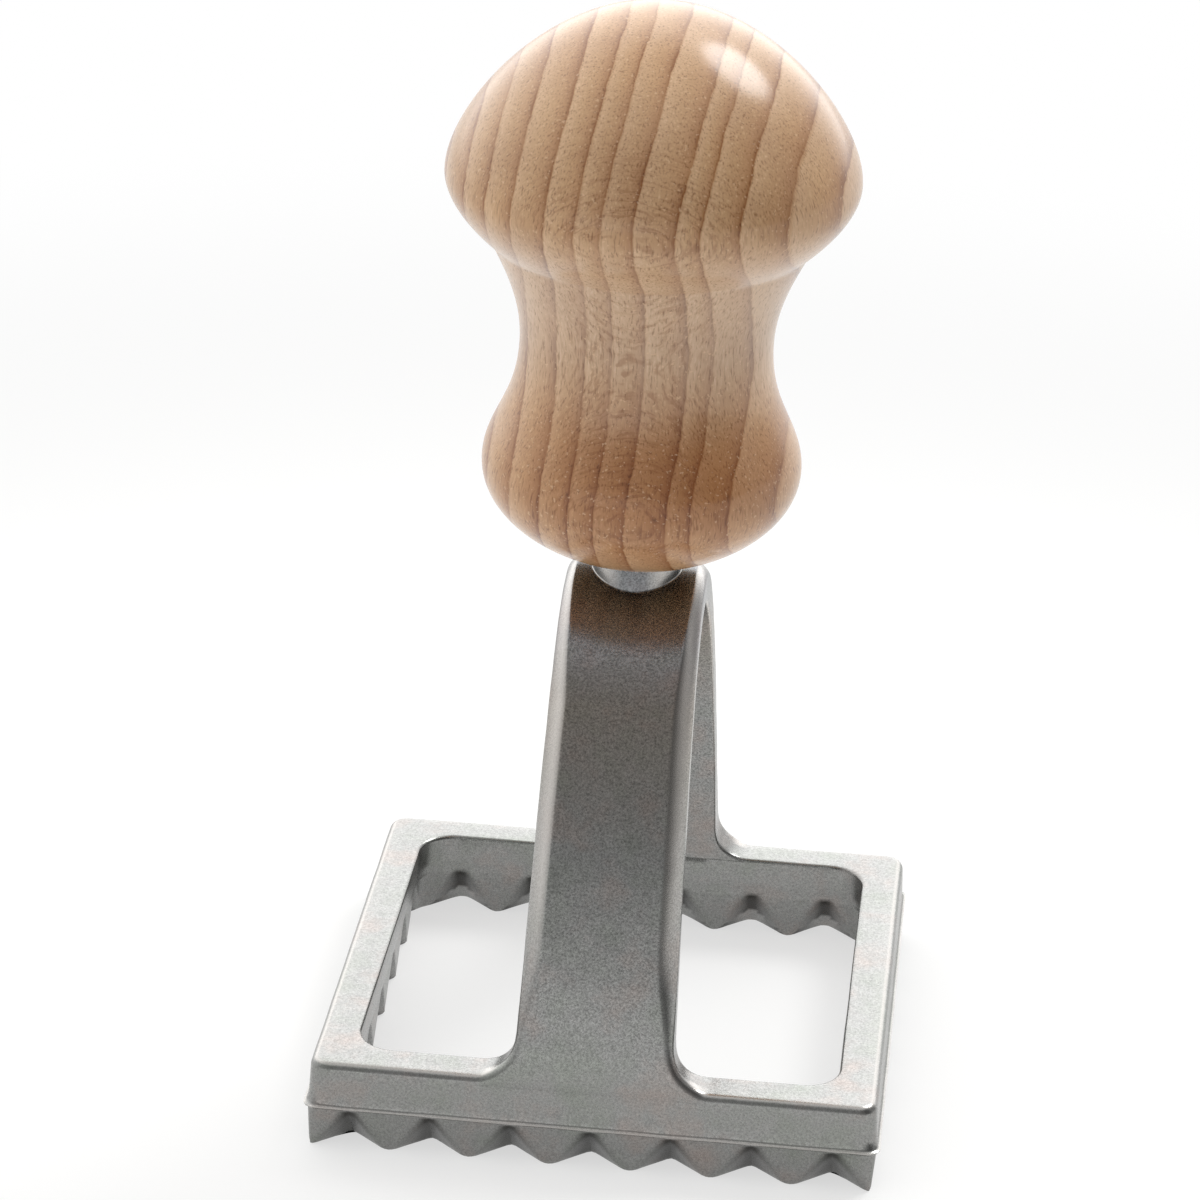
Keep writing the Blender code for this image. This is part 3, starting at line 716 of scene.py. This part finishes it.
def aluminium(settings):
    """Aluminium alloy, pressure die-cast and tumbled: a satin grey skin with a fine sandy grain and faint
    warm and green clouds where the mould ran hotter, with painted shade in the grooves and pockets and
    close under the knob, a painted reflection of the knob on the strap near it, and painted highlights on
    the rounded edges."""
    material, add, shader = new_material("die_cast_aluminium")
    place = millimetres(add)
    clouds = add("TexNoise", {"Vector": place, "Scale": 1 / CLOUD_SIZE, "Detail": 4.0, "Roughness": 0.55})
    colour = add("ValToRGB", {"Fac": clouds}, stops=((0.30, settings.cool), (0.52, settings.metal),
                                                     (0.74, settings.warm)))
    grain = add("TexNoise", {"Vector": place, "Scale": 1 / GRAIN_SIZE, "Detail": 3.0, "Roughness": 0.75})
    speckle = add("ValToRGB", {"Fac": grain}, stops=((0.32, "#A4A4A4"), (0.66, "#FFFFFF")))
    # The grain is finer on the frame, which the tumbling reached best
    height = add("SeparateXYZ", {"Vector": place}).outputs["Z"]
    sandy = add("MapRange", {"Value": height, "From Min": SANDY_START, "From Max": SANDY_END,
                             "To Min": 0.5, "To Max": 1.0})
    sand = add("MixRGB", {"Fac": sandy, "Color1": linear("#D9D9D9"), "Color2": speckle})
    # The knob's painted reflection, brownish, on the strap near it, and painted shade, cooler, close under
    # the knob
    near_knob = add("MapRange", {"Value": height, "From Min": KNOB_TINT_START, "From Max": KNOB_TINT_END})
    film = add("ValToRGB", {"Fac": near_knob}, stops=((0.1, "#FFFFFF"), (0.6, settings.film),
                                                    (0.8, "#F2F0F6"), (1.0, settings.knob_shade)))
    # Painted shade, dull and dark, in the grooves and pockets
    recess = add("Attribute", attribute_name="recess").outputs["Fac"]
    recess_shading = add("Math", {0: recess, 1: settings.recess_shade_share}, operation="MULTIPLY")
    # Painted highlights on the rounded edges and the ridge's crest
    edge_highlight = add("Attribute", attribute_name="edge_highlight").outputs["Fac"]
    highlighted = add("Math", {0: edge_highlight, 1: settings.edge_highlight_share}, operation="MULTIPLY")
    for layer, share, blend in ((sand, 1.0, "MULTIPLY"), (film, 1.0, "MULTIPLY"),
                                (settings.oxide, recess_shading, "MULTIPLY"), (settings.painted_sheen, highlighted, "MIX")):
        colour = add("MixRGB", {"Fac": share, "Color1": colour, "Color2": layer}, blend_type=blend)
    rough = add("MapRange", {"Value": grain, "From Min": 0.3, "From Max": 0.7,
                             "To Min": settings.roughness + 0.08, "To Max": settings.roughness - 0.04})
    bump = add("Bump", {"Height": grain, "Strength": 0.4, "Distance": GRAIN_DEPTH * MM})
    feed(shader, {"Base Color": colour, "Metallic": 1.0, "Roughness": rough, "Normal": bump})
    return material


class CastingSettings(bpy.types.PropertyGroup):
    metal: colour_setting("Metal", "Colour of the casting's skin", "#A7A7A5")
    cool: colour_setting("Cool clouds", "Colour of its greener clouds", "#A0A39D")
    warm: colour_setting("Warm clouds", "Colour of its warmer clouds", "#AEA5A0")
    roughness: share_setting("Roughness", "Roughness of the tumbled skin", 0.25)
    # The next two: the knob's painted reflection on the strap, and painted shade close under the knob
    film: colour_setting("Film", "Tint of the film that hands leave near the knob", "#FFF3EA")
    knob_shade: colour_setting("Close film", "Tint of the film close under the knob", "#D4D6DC")
    # The next two: painted shade in the grooves and pockets, and how much of it shows
    oxide: colour_setting("Oxide", "Tint of the oxide in its recesses", "#4A4844")
    recess_shade_share: share_setting("Oxide share", "How much the oxide shows", 0.95)
    # The next two: painted highlights on the rounded edges and the ridge's crest, and how much they show
    painted_sheen: colour_setting("Worn edges", "Colour of its rubbed edges", "#D6D1CC")
    edge_highlight_share: share_setting("Wear share", "How much the rubbed edges show", 0.66)
    unevenness: FloatProperty(name="Unevenness", description="How far its faces wander", default=0.00004,
                              min=0.0, max=0.0002, unit="LENGTH", subtype="DISTANCE", precision=5)


class CUTTER_OT_casting(bpy.types.Operator):
    """Build the die-cast frame, arch and boss"""
    bl_idname = "cutter.casting"
    bl_label = "Casting"

    def execute(self, context):
        settings = context.scene.cutter_casting
        casting = finish_mesh("die_cast_frame", casting_mesh(), aluminium(settings))
        boss = finish_mesh("boss_form", boss_mesh())
        hole = finish_mesh("hole_form", drill_mesh(ARCH_UNDERSIDE - 2, BOSS_TOP + 1, SCREW_HOLE_RADIUS))
        seat = finish_mesh("seat_form", drill_mesh(ARCH_UNDERSIDE - 3, SEAT_HEIGHT, SEAT_RADIUS))
        carve(casting, [boss], "UNION")
        carve(casting, [hole, seat], "DIFFERENCE")
        mark_recess_shade(casting.data)
        mark_edge_highlights(casting.data)
        uneven_casting(casting.data, settings.unevenness)
        smooth_faces(casting.data)
        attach(casting, "root")
        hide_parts("cutter_casting")
        return {"FINISHED"}


# Knob

def knob_outline():
    """The knob's outside as (radius, height) from the edge of its base up to its top."""
    def aim(degrees):
        return Vector((math.sin(math.radians(degrees)), math.cos(math.radians(degrees))))

    up, inward = Vector((0, 1)), Vector((-1, 0))
    ways = ((aim(BASE_SLOPE), up), (up, up), (up, aim(NECK_SLOPE)), (aim(CAP_SLOPE), up), (up, inward))
    places = [Vector(place) for place in KNOB_PLACES]
    points = []
    for start, end, (leaving, arriving), (first, second) in zip(places, places[1:], ways, KNOB_HOLDS):
        run = end - start
        near = start + leaving * leaving.dot(run) * first
        far = end - arriving * arriving.dot(run) * second
        points += [bezier(start, near, far, end, step / OUTLINE_STEPS)
                   for step in range(OUTLINE_STEPS)]
    points.append(places[-1])
    return [(max(point.x, 0.0), point.y) for point in points]


def beech(settings):
    """Beech, turned on a lathe and given a thin satin lacquer: pale pinkish bands that darken towards
    thin brown growth lines, fine rays that draw contour lines on the front, short pores, a soft gloss."""
    material, add, shader = new_material("turned_beech")
    place = millimetres(add)
    warped = place
    for size, reach in ((WANDER_SIZE, RING_WANDER), (SHAKE_SIZE, RING_SHAKE)):
        shift = add("TexNoise", {"Vector": place, "Scale": 1 / size, "Detail": 2.0})
        shift = add("VectorMath", {0: shift.outputs["Color"], 1: (0.5, 0.5, 0.5)}, operation="SUBTRACT")
        shift = add("VectorMath", {0: shift, "Scale": reach}, operation="SCALE")
        warped = add("VectorMath", {0: warped, 1: shift}, operation="ADD")
    # The rings are far from the pith, so they bend only a little. They lean to the right as they rise
    axes = add("SeparateXYZ", {"Vector": warped}).outputs
    squared = add("Math", {0: axes["Y"], 1: axes["Y"]}, operation="MULTIPLY")
    bent = add("Math", {0: squared, 1: RING_BEND, 2: axes["X"]}, operation="MULTIPLY_ADD")
    risen = add("Math", {0: axes["Z"], 1: RING_MIDDLE}, operation="SUBTRACT")
    across = add("Math", {0: risen, 1: -RING_LEAN, 2: bent}, operation="MULTIPLY_ADD")
    stops = []
    for line, after in zip(RING_LINES, RING_LINES[1:]):
        stops += [((line + RING_SPAN) / (2 * RING_SPAN), 0.0),
                  ((after - LINE_EDGE + RING_SPAN) / (2 * RING_SPAN), 1.0)]
    share = add("MapRange", {"Value": across, "From Min": -RING_SPAN, "From Max": RING_SPAN})
    phase = add("ValToRGB", {"Fac": share}, stops=stops)
    colour = add("ValToRGB", {"Fac": phase}, stops=((0.0, settings.early), (0.45, settings.wood),
                                                    (0.97, settings.late)))
    # Growth lines, stronger in some places than in others
    edge = add("ValToRGB", {"Fac": phase}, stops=((0.70, 0.0), (0.88, 0.3), (0.95, 0.8), (1.0, 0.9)))
    patches = add("TexNoise", {"Vector": place, "Scale": 1 / LINE_PATCH_SIZE, "Detail": 1.0})
    strong = add("MapRange", {"Value": patches, "From Min": 0.35, "From Max": 0.65, "To Min": 0.35,
                              "To Max": 1.0})
    drawn = add("Math", {0: edge, 1: strong}, operation="MULTIPLY")
    tone = add("TexNoise", {"Vector": place, "Scale": 1 / TONE_SIZE, "Detail": 3.0})
    toned = add("ValToRGB", {"Fac": tone}, stops=((0.3, "#ECE6E2"), (0.7, "#FFFFFF")))
    # A darker patch comes out on the front of the belly
    off = add("VectorMath", {0: warped, 1: PATCH_PLACE}, operation="SUBTRACT")
    off = add("VectorMath", {0: off, 1: PATCH_REACH}, operation="DIVIDE")
    off = add("VectorMath", {0: off}, operation="LENGTH").outputs["Value"]
    patch = add("ValToRGB", {"Fac": off}, stops=((0.25, "#DFC6B0"), (1.0, "#FFFFFF")))
    # A painted reflection of the pale floor leaves the neck paler and greyer
    height = add("SeparateXYZ", {"Vector": place}).outputs["Z"]
    neck = add("MapRange", {"Value": height, "From Min": NECK_LOW, "From Max": NECK_HIGH})
    painted_sheen = add("ValToRGB", {"Fac": neck}, stops=((0.0, 0.0), (0.35, NECK_SHEEN), (0.75, NECK_SHEEN),
                                                 (1.0, 0.0)))
    # Rays: thin upright sheets across the rings, which draw contour lines on a face along them, so
    # they show at the front and the back
    tilted = add("Mapping", {"Vector": warped, "Rotation": (math.radians(-RAY_TILT), 0, 0)})
    rays = add("Mapping", {"Vector": tilted, "Scale": [1 / size for size in RAY_SIZE]})
    flecks = add("TexNoise", {"Vector": rays, "Scale": 1.0, "Detail": 2.0})
    fleck = add("ValToRGB", {"Fac": flecks}, stops=((0.50, "#FFFFFF"), (0.64, "#C4A88F")))
    facing = add("SeparateXYZ", {"Vector": add("TexCoord").outputs["Normal"]}).outputs["Y"]
    facing = add("Math", {0: facing}, operation="ABSOLUTE")
    facing = add("MapRange", {"Value": facing, "From Min": 0.72, "From Max": 0.97, "To Min": 0.05,
                              "To Max": 0.55})
    # Pores, 0.1 mm wide in the real wood, drawn 0.2 mm wide so that they show
    pores = add("Mapping", {"Vector": tilted, "Scale": [1 / size for size in PORE_SIZE]})
    pores = add("TexNoise", {"Vector": pores, "Scale": 1.0, "Detail": 2.0})
    pore = add("ValToRGB", {"Fac": pores}, stops=((0.28, "#FFFFFF"), (0.40, "#EFE6DE"),
                                                  (0.56, "#E9DFD6"), (0.70, "#A88A70")))
    # Pale specks where cut pores catch the light
    specks = add("TexNoise", {"Vector": place, "Scale": 1 / SPECK_SIZE, "Detail": 1.0})
    speck = add("ValToRGB", {"Fac": specks}, stops=((0.64, 0.0), (0.74, 0.5)))
    for layer, share, blend in ((settings.line, drawn, "MIX"), (toned, 1.0, "MULTIPLY"),
                                (patch, 1.0, "MULTIPLY"), (settings.painted_sheen, painted_sheen, "MIX"),
                                (fleck, facing, "MULTIPLY"), (pore, 0.75, "MULTIPLY"),
                                (settings.early, speck, "MIX")):
        colour = add("MixRGB", {"Fac": share, "Color1": colour, "Color2": layer}, blend_type=blend)
    bump = add("Bump", {"Height": pores, "Strength": 0.15, "Distance": PORE_DEPTH * MM})
    # The gloss is the lacquer's, so the wood under it has little of its own
    feed(shader, {"Base Color": colour, "Roughness": 0.5, "Specular IOR Level": 0.1,
                  "Coat Weight": settings.lacquer, "Coat Roughness": 0.2, "Normal": bump})
    return material


class KnobSettings(bpy.types.PropertyGroup):
    wood: colour_setting("Wood", "Main colour of the beech", "#DFB98F")
    early: colour_setting("Early wood", "Pale start of each band", "#EAC8A2")
    late: colour_setting("Late wood", "Darker end of each band", "#CFA277")
    line: colour_setting("Growth line", "Thin line that ends each band", "#98602D")
    # Colour of the painted reflection that pales the neck
    painted_sheen: colour_setting("Worn neck", "Colour that the neck wears towards", "#E6DCD0")
    lacquer: share_setting("Lacquer", "How much the lacquer shows", 0.9)


class CUTTER_OT_knob(bpy.types.Operator):
    """Turn the beech knob"""
    bl_idname = "cutter.knob"
    bl_label = "Knob"

    def execute(self, context):
        outline = [(0, PILOT_DEPTH), (SCREW_HOLE_RADIUS, PILOT_DEPTH), (SCREW_HOLE_RADIUS, 0)]
        outline += knob_outline()
        turned = revolve([(radius, KNOB_BASE + height) for radius, height in outline], KNOB_STEPS)
        knob = finish_mesh("turned_knob", turned, beech(context.scene.cutter_knob), KNOB_SHARP_ANGLE)
        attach(knob, "root")
        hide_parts("wooden_knob")
        return {"FINISHED"}


# Screw

def steel(settings):
    """Steel, turned, thread-rolled and zinc plated: a bright, slightly blue skin with fine marks."""
    material, add, shader = new_material("zinc_plated_steel")
    marks = add("TexNoise", {"Vector": millimetres(add), "Scale": 1 / MARK_SIZE, "Detail": 3.0})
    tint = add("ValToRGB", {"Fac": marks}, stops=((0.3, "#A9ACB0"), (0.7, settings.steel)))
    rough = add("MapRange", {"Value": marks, "To Min": 0.22, "To Max": 0.4})
    feed(shader, {"Base Color": tint, "Roughness": rough, "Metallic": 1.0})
    return material


def screw_outline():
    """Point, core, shank and pan head as (radius, height over the seat), from the point down."""
    shank_end = SCREW_LENGTH - THREAD_LENGTH
    outline = [(0, SCREW_LENGTH), (SCREW_CORE_RADIUS, SCREW_LENGTH - POINT_LENGTH),
               (SCREW_CORE_RADIUS, shank_end),
               (SCREW_RADIUS, shank_end - (SCREW_RADIUS - SCREW_CORE_RADIUS)), (SCREW_RADIUS, 0),
               (HEAD_RADIUS - HEAD_EDGE, 0), (HEAD_RADIUS, -HEAD_EDGE)]
    for sine, cosine in quarter(HEAD_STEPS):
        outline.append((HEAD_RADIUS - HEAD_CROWN_RADIUS * (1 - cosine),
                        -HEAD_RIM - (HEAD_HEIGHT - HEAD_RIM) * sine))
    return outline + [(0, -HEAD_HEIGHT)]


def thread_mesh():
    """The thread: one ridge that winds up the core and sinks into it at both ends."""
    sunk = SCREW_CORE_RADIUS - THREAD_SINK
    start = SCREW_LENGTH - THREAD_LENGTH
    steps = round((THREAD_LENGTH - POINT_LENGTH) / THREAD_PITCH * SCREW_STEPS)
    rows = []
    for step in range(steps + 1):
        turn = step / SCREW_STEPS
        crest = rise(SCREW_CORE_RADIUS, SCREW_RADIUS, min(1, turn, (steps - step) / SCREW_STEPS))
        angle = (turn + 0.5 / SCREW_STEPS) * 2 * math.pi
        height = HEAD_SEAT + start + turn * THREAD_PITCH
        section = (sunk, -THREAD_FLANK), (crest, 0), (sunk, THREAD_FLANK)
        rows.append([Vector((radius * math.cos(angle), radius * math.sin(angle), height + offset))
                     for radius, offset in section])
    bm = bmesh.new()
    rings = skin(bm, rows)
    bm.faces.new(rings[0])
    bm.faces.new(rings[-1])
    return bm


def recess_mesh(turn):
    """One arm of the driver's cross, narrower at its bottom."""
    bm = bmesh.new()
    arm = bmesh.ops.create_cube(bm, size=1.0)["verts"]
    bmesh.ops.scale(bm, verts=arm, vec=(RECESS_SPAN, RECESS_WIDTH, 2 * RECESS_DEPTH))
    for vertex in arm:
        if vertex.co.z > 0:
            vertex.co.x *= RECESS_TAPER
            vertex.co.y *= RECESS_TAPER
    bmesh.ops.rotate(bm, verts=arm, matrix=Matrix.Rotation(turn, 3, "Z"))
    bmesh.ops.translate(bm, verts=arm, vec=(0, 0, HEAD_SEAT - HEAD_HEIGHT))
    return bm


class ScrewSettings(bpy.types.PropertyGroup):
    steel: colour_setting("Steel", "Colour of the plated steel", "#C6C8CB")


class CUTTER_OT_screw(bpy.types.Operator):
    """Build the wood screw that holds the knob"""
    bl_idname = "cutter.screw"
    bl_label = "Screw"

    def execute(self, context):
        turned = revolve([(radius, HEAD_SEAT + height) for radius, height in screw_outline()], SCREW_STEPS)
        screw = finish_mesh("pan_head_screw", turned, steel(context.scene.cutter_screw))
        thread = finish_mesh("thread_form", thread_mesh())
        arms = [finish_mesh("recess_form", recess_mesh(turn)) for turn in (0, math.pi / 2)]
        carve(screw, [thread], "UNION")
        carve(screw, arms, "DIFFERENCE")
        smooth_faces(screw.data)
        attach(screw, "root")
        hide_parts("knob_screw")
        return {"FINISHED"}


# Stage

class StageSettings(bpy.types.PropertyGroup):
    paper: colour_setting("Paper", "Colour of the paper under the tool", "#F7F7F5")
    table: colour_setting("Table", "Colour of the table beyond it, as it lights the tool", "#9A9A98")
    key_power: FloatProperty(name="Key lamp", description="Power of the soft lamp behind the tool",
                             default=6.0, min=0.0, unit="POWER")


def direction(azimuth, elevation):
    """Unit vector from the tool at degrees from the front towards the right, and up."""
    azimuth, elevation = math.radians(azimuth), math.radians(elevation)
    return Vector((math.sin(azimuth) * math.cos(elevation),
                   -math.cos(azimuth) * math.cos(elevation), math.sin(elevation)))


def place_camera():
    back = direction(CAMERA_AZIMUTH, CAMERA_ELEVATION)
    level = direction(CAMERA_AZIMUTH + 90, 0)
    upright = level.cross(-back)
    roll = math.radians(CAMERA_ROLL)
    right = level * math.cos(roll) + upright * math.sin(roll)
    up = upright * math.cos(roll) - level * math.sin(roll)
    data = bpy.data.cameras.new("camera")
    data.lens = CAMERA_LENS
    data.clip_start = CAMERA_NEAR * MM
    camera = bpy.data.objects.new("camera", data)
    camera.matrix_world = (Matrix.Translation(Vector(CAMERA_PLACE) * MM)
                           @ Matrix((right, up, back)).transposed().to_4x4())
    bpy.context.scene.collection.objects.link(camera)
    bpy.context.scene.camera = camera


def place_key_lamp(power):
    """A soft round lamp that looks at the tool."""
    way = direction(KEY_AZIMUTH, KEY_ELEVATION)
    data = bpy.data.lights.new("key_lamp", "AREA")
    data.shape = "DISK"
    data.size = KEY_SIZE * MM
    data.energy = power
    lamp = bpy.data.objects.new("key_lamp", data)
    lamp.location = (Vector(KEY_AIM) + way * KEY_DISTANCE) * MM
    lamp.rotation_euler = way.to_track_quat("Z", "Y").to_euler()
    bpy.context.scene.collection.objects.link(lamp)


def paint_world():
    """A studio that is bright behind and to the left, and dark in front over the horizon."""
    world = bpy.data.worlds.new("studio")
    world.use_nodes = True
    add = partial(add_node, world.node_tree)
    way = add("SeparateXYZ", {"Vector": add("TexCoord").outputs["Generated"]}).outputs
    front = add("Math", {0: way["Y"], 1: -1.0}, operation="MULTIPLY")
    turn = add("Math", {0: way["X"], 1: front}, operation="ARCTAN2")
    share = add("MapRange", {"Value": turn, "From Min": -math.pi, "From Max": math.pi})
    bands = []
    for levels in (SKY_LOW, SKY_HIGH):
        stops = [((azimuth + 180) / 360, level / SKY_SCALE)
                 for azimuth, level in zip(SKY_AZIMUTHS, levels)]
        bands.append(add("ValToRGB", {"Fac": share}, stops=stops))
    rising, steep = (add("MapRange", {"Value": way["Z"], "From Min": low, "From Max": high},
                         interpolation_type="SMOOTHSTEP") for low, high in (SKY_RISING, SKY_STEEP))
    sides = add("MixRGB", {"Fac": rising, "Color1": bands[0], "Color2": bands[1]})
    top = SKY_TOP / SKY_SCALE
    whole = add("MixRGB", {"Fac": steep, "Color1": sides, "Color2": (top, top, top, 1)})
    feed(world.node_tree.nodes["Background"], {"Color": whole, "Strength": SKY_SCALE})
    bpy.context.scene.world = world


def paint_floor(add, shader, paper, table):
    """White paper on a greyer table, which the eye and the metal see as endless white with the
    tool's shadow on it."""
    path = add("LightPath").outputs
    seen = add("Math", {0: path["Is Camera Ray"], 1: path["Is Glossy Ray"]}, operation="MAXIMUM")
    seen = add("Math", {0: seen, 1: path["Is Transmission Ray"]}, operation="MAXIMUM")
    away = add("VectorMath", {0: millimetres(add)}, operation="LENGTH").outputs["Value"]
    far = add("MapRange", {"Value": away, "From Min": PAPER_START, "From Max": PAPER_END},
              interpolation_type="SMOOTHSTEP")
    tint = add("MixRGB", {"Fac": far, "Color1": paper, "Color2": table})
    share = add("MapRange", {"Value": far, "To Min": WHITE_NEAR, "To Max": WHITE_FAR})
    share = add("Math", {0: seen, 1: share}, operation="MULTIPLY")
    white = add("Emission", {"Color": (1, 1, 1, 1), "Strength": 1.0})
    mixed = add("MixShader", {0: share, 1: shader, 2: white})
    feed(shader, {"Base Color": tint, "Roughness": 0.9, "Specular IOR Level": 0.1})
    feed(shader.id_data.nodes["Material Output"], {"Surface": mixed})


class CUTTER_OT_stage(bpy.types.Operator):
    """Lay the floor, hang the lamp and place the camera"""
    bl_idname = "cutter.stage"
    bl_label = "Stage"

    def execute(self, context):
        settings = context.scene.cutter_stage
        context.scene.view_settings.view_transform = "Standard"
        material, add, shader = new_material("matt_paper")
        paint_floor(add, shader, settings.paper, settings.table)
        bm = bmesh.new()
        bmesh.ops.create_circle(bm, cap_ends=True, segments=96, radius=FLOOR_RADIUS)
        floor = finish_mesh("paper_floor", bm, material)
        paint_world()
        place_key_lamp(settings.key_power)
        place_camera()
        return {"FINISHED"}


class VIEW3D_PT_cutter(bpy.types.Panel):
    """Lists the pieces of the ravioli cutter"""
    bl_label = "Ravioli cutter"
    bl_idname = "VIEW3D_PT_cutter"
    bl_space_type = "VIEW_3D"
    bl_region_type = "UI"
    bl_category = "Ravioli cutter"

    def draw(self, context):
        for operator, name, _ in STEPS:
            box = self.layout.box()
            settings = getattr(context.scene, name)
            for setting in settings.__annotations__:
                box.prop(settings, setting)
            box.operator(operator.bl_idname)


STEPS = (
    (CUTTER_OT_stage, "cutter_stage", StageSettings),
    (CUTTER_OT_casting, "cutter_casting", CastingSettings),
    (CUTTER_OT_knob, "cutter_knob", KnobSettings),
    (CUTTER_OT_screw, "cutter_screw", ScrewSettings),
)


def register():
    for operator, name, settings in STEPS:
        bpy.utils.register_class(settings)
        setattr(bpy.types.Scene, name, PointerProperty(type=settings))
        bpy.utils.register_class(operator)
    bpy.utils.register_class(VIEW3D_PT_cutter)


def unregister():
    bpy.utils.unregister_class(VIEW3D_PT_cutter)
    for operator, name, settings in reversed(STEPS):
        bpy.utils.unregister_class(operator)
        delattr(bpy.types.Scene, name)
        bpy.utils.unregister_class(settings)


def main():
    register()
    bpy.ops.cutter.stage()
    bpy.ops.cutter.casting()
    bpy.ops.cutter.knob()
    bpy.ops.cutter.screw()


if __name__ == "__main__":
    main()
